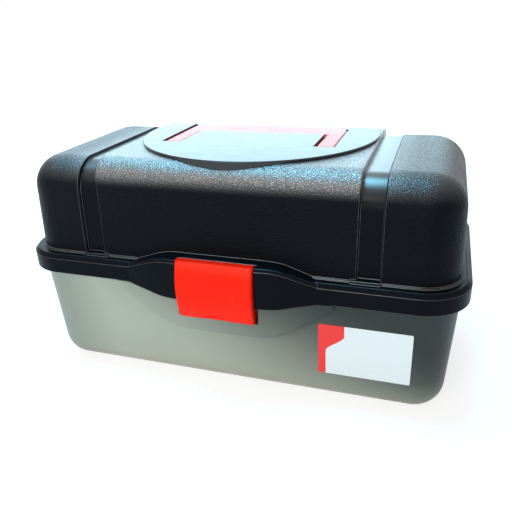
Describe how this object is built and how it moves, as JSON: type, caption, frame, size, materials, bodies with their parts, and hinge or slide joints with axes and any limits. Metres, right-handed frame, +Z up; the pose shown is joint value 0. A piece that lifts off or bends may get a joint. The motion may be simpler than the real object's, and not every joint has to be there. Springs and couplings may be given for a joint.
{
  "type": "cantilever tackle box",
  "caption": "Tackle box with a see-through tub, a domed black lid with a folding red handle and a red front latch, and cantilever trays that swing up and back when the lid opens.",
  "frame": {"origin": "middle of the box's bounding box, on the surface that it stands on", "axes": "+X along the length to the right of someone at the front, +Y from the front latch to the rear hinge, +Z up"},
  "size_m": [0.4, 0.2259, 0.213],
  "materials": {
    "base": "clear smoky plastic, glossy",
    "lid": "pebble grain",
    "plate": "smooth satin",
    "red": "glossy",
    "tray": "smooth satin",
    "divider": "smooth satin",
    "arm": "rolled strip",
    "rivet": "turned"
  },
  "bodies": {
    "base": {"base_shell": "base", "base_rivets": "rivet", "hinge_pins": "rivet"},
    "lid": {"lid_shell": "lid", "handle_plate": "plate", "handle_pins": "rivet", "latch_pin": "rivet", "link_pins": "rivet"},
    "handle": {"handle": "red"},
    "latch": {"latch": "red"},
    "rear_arms": {"rear_arm_left": "arm", "rear_arm_right": "arm"},
    "front_arms": {"front_arm_left": "arm", "front_arm_right": "arm"},
    "lid_links": {"lid_link_left": "arm", "lid_link_right": "arm", "link_rivets": "rivet"},
    "lower_tray": {"lower_tray": "tray", "lower_tray_dividers": "divider", "lower_tray_rivets": "rivet"},
    "middle_tray": {"middle_tray": "tray", "middle_tray_dividers": "divider", "middle_tray_rivets": "rivet"},
    "upper_tray": {"upper_tray": "tray", "upper_tray_dividers": "divider", "upper_tray_rivets": "rivet"}
  },
  "joints": [
    {"name": "lid_hinge", "type": "hinge", "parent": "base", "child": "lid", "pos_m": [0, 0.1085, 0.106], "axis": [-1, 0, 0], "range_deg": [0, 100]},
    {"name": "rear_arm_hinge", "type": "hinge", "parent": "base", "child": "rear_arms", "pos_m": [0, 0.0785, 0.103], "axis": [-1, 0, 0], "range_deg": [-0.5, 49.39]},
    {"name": "front_arm_hinge", "type": "hinge", "parent": "base", "child": "front_arms", "pos_m": [0, 0.0445, 0.103], "axis": [-1, 0, 0], "range_deg": [-0.5, 49.39]},
    {"name": "lower_tray_hinge", "type": "hinge", "parent": "rear_arms", "child": "lower_tray", "pos_m": [0, 0.0459, 0.128], "axis": [-1, 0, 0], "range_deg": [-49.39, 0.5]},
    {"name": "middle_tray_hinge", "type": "hinge", "parent": "rear_arms", "child": "middle_tray", "pos_m": [0, 0.0133, 0.153], "axis": [-1, 0, 0], "range_deg": [-49.39, 0.5]},
    {"name": "upper_tray_hinge", "type": "hinge", "parent": "rear_arms", "child": "upper_tray", "pos_m": [0, -0.0193, 0.178], "axis": [-1, 0, 0], "range_deg": [-49.39, 0.5]},
    {"name": "lid_link_hinge", "type": "hinge", "parent": "lid", "child": "lid_links", "pos_m": [0, 0.0745, 0.125], "axis": [-1, 0, 0], "range_deg": [-72.34, 0.5]},
    {"name": "handle_hinge", "type": "hinge", "parent": "lid", "child": "handle", "pos_m": [0, -0.0133, 0.2078], "axis": [1, 0, 0], "range_deg": [0, 90]},
    {"name": "latch_hinge", "type": "hinge", "parent": "lid", "child": "latch", "pos_m": [0, -0.1025, 0.1315], "axis": [-1, 0, 0], "range_deg": [0, 80]}
  ],
  "couplings": [
    {"joint": "rear_arm_hinge", "follows": "lid_hinge", "ratio": 0.48888},
    {"joint": "front_arm_hinge", "follows": "lid_hinge", "ratio": 0.48888},
    {"joint": "lower_tray_hinge", "follows": "lid_hinge", "ratio": -0.48888},
    {"joint": "middle_tray_hinge", "follows": "lid_hinge", "ratio": -0.48888},
    {"joint": "upper_tray_hinge", "follows": "lid_hinge", "ratio": -0.48888},
    {"joint": "lid_link_hinge", "follows": "lid_hinge", "ratio": -0.7184}
  ]
}
